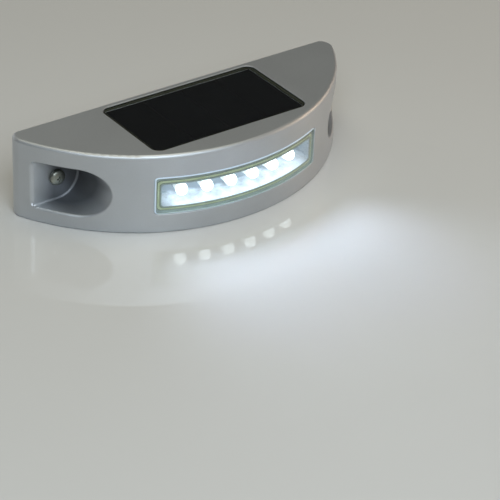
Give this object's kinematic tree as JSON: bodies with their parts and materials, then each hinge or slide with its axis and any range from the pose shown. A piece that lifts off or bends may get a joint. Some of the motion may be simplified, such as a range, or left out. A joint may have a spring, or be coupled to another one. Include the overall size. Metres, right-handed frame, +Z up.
{
  "type": "solar driveway light",
  "caption": "Crescent solar light with a flat back, a black solar window on top, a bowed LED lens in front and a screw pocket at each end.",
  "frame": {"origin": "middle of the bottom face: half-way along the light and half its depth in front of the back face", "axes": "+Z up, +X to the right seen from the front, -Y out of the lens, +Y towards the wall"},
  "size_m": [0.16, 0.0694, 0.036],
  "materials": {
    "silver_housing": "satin silver paint on moulded plastic",
    "black_cover": "fine textured black plastic",
    "clear_window": "clear, polished",
    "solar_black": "near black cells under resin",
    "panel_board": "black board with pale edges",
    "foam_tape": "white foam",
    "adhesive": "black adhesive",
    "clear_lens": "clear, polished, faintly green in its edges",
    "lens_frame": "pale adhesive",
    "bright_reflector": "bright metallised plastic",
    "led_epoxy": "water-clear epoxy, lit",
    "green_board": "green solder mask",
    "chip_black": "moulded epoxy",
    "ferrite": "ferrite drum with lacquered winding",
    "capacitor_sleeve": "printed sleeve left bare",
    "battery_sleeve": "plain green sleeve",
    "plated_steel": "nickel plated",
    "screw_steel": "zinc plated",
    "seal_rubber": "soft black rubber",
    "knob_plastic": "white moulded plastic",
    "terminal_brass": "tinned brass",
    "lead_red": "insulation",
    "lead_black": "insulation",
    "lead_white": "insulation"
  },
  "bodies": {
    "light": {"housing": "silver_housing", "solar_window": "clear_window", "window_gasket": "adhesive", "solar_cells": "solar_black", "solar_panel_board": "panel_board", "panel_tape": "foam_tape", "lens": "clear_lens", "lens_gasket": "lens_frame", "reflector": "bright_reflector", "led_1": "led_epoxy", "led_2": "led_epoxy", "led_3": "led_epoxy", "led_4": "led_epoxy", "led_5": "led_epoxy", "led_6": "led_epoxy", "circuit_board": "green_board", "driver_ic": "chip_black", "boost_inductor": "ferrite", "filter_capacitor": "capacitor_sleeve", "resistors": "chip_black", "board_screws": "screw_steel", "battery": "battery_sleeve", "battery_holder": "black_cover", "contact_positive": "plated_steel", "contact_negative": "plated_steel", "contact_spring": "plated_steel", "holder_screws": "screw_steel", "base_cover": "black_cover", "base_seal": "seal_rubber", "base_screws": "screw_steel", "switch_body": "plated_steel", "switch_terminals": "terminal_brass", "switch_screws": "screw_steel", "panel_lead_red": "lead_red", "panel_lead_black": "lead_black", "battery_lead_red": "lead_red", "battery_lead_black": "lead_black", "switch_lead_in": "lead_red", "switch_lead_out": "lead_white", "mounting_screws": "screw_steel"},
    "switch_knob": {"switch_slider": "knob_plastic"}
  },
  "joints": [
    {"name": "switch_slide", "type": "slide", "parent": "light", "child": "switch_knob", "axis": [0, 1, 0], "range_m": [0, 0.003]}
  ]
}
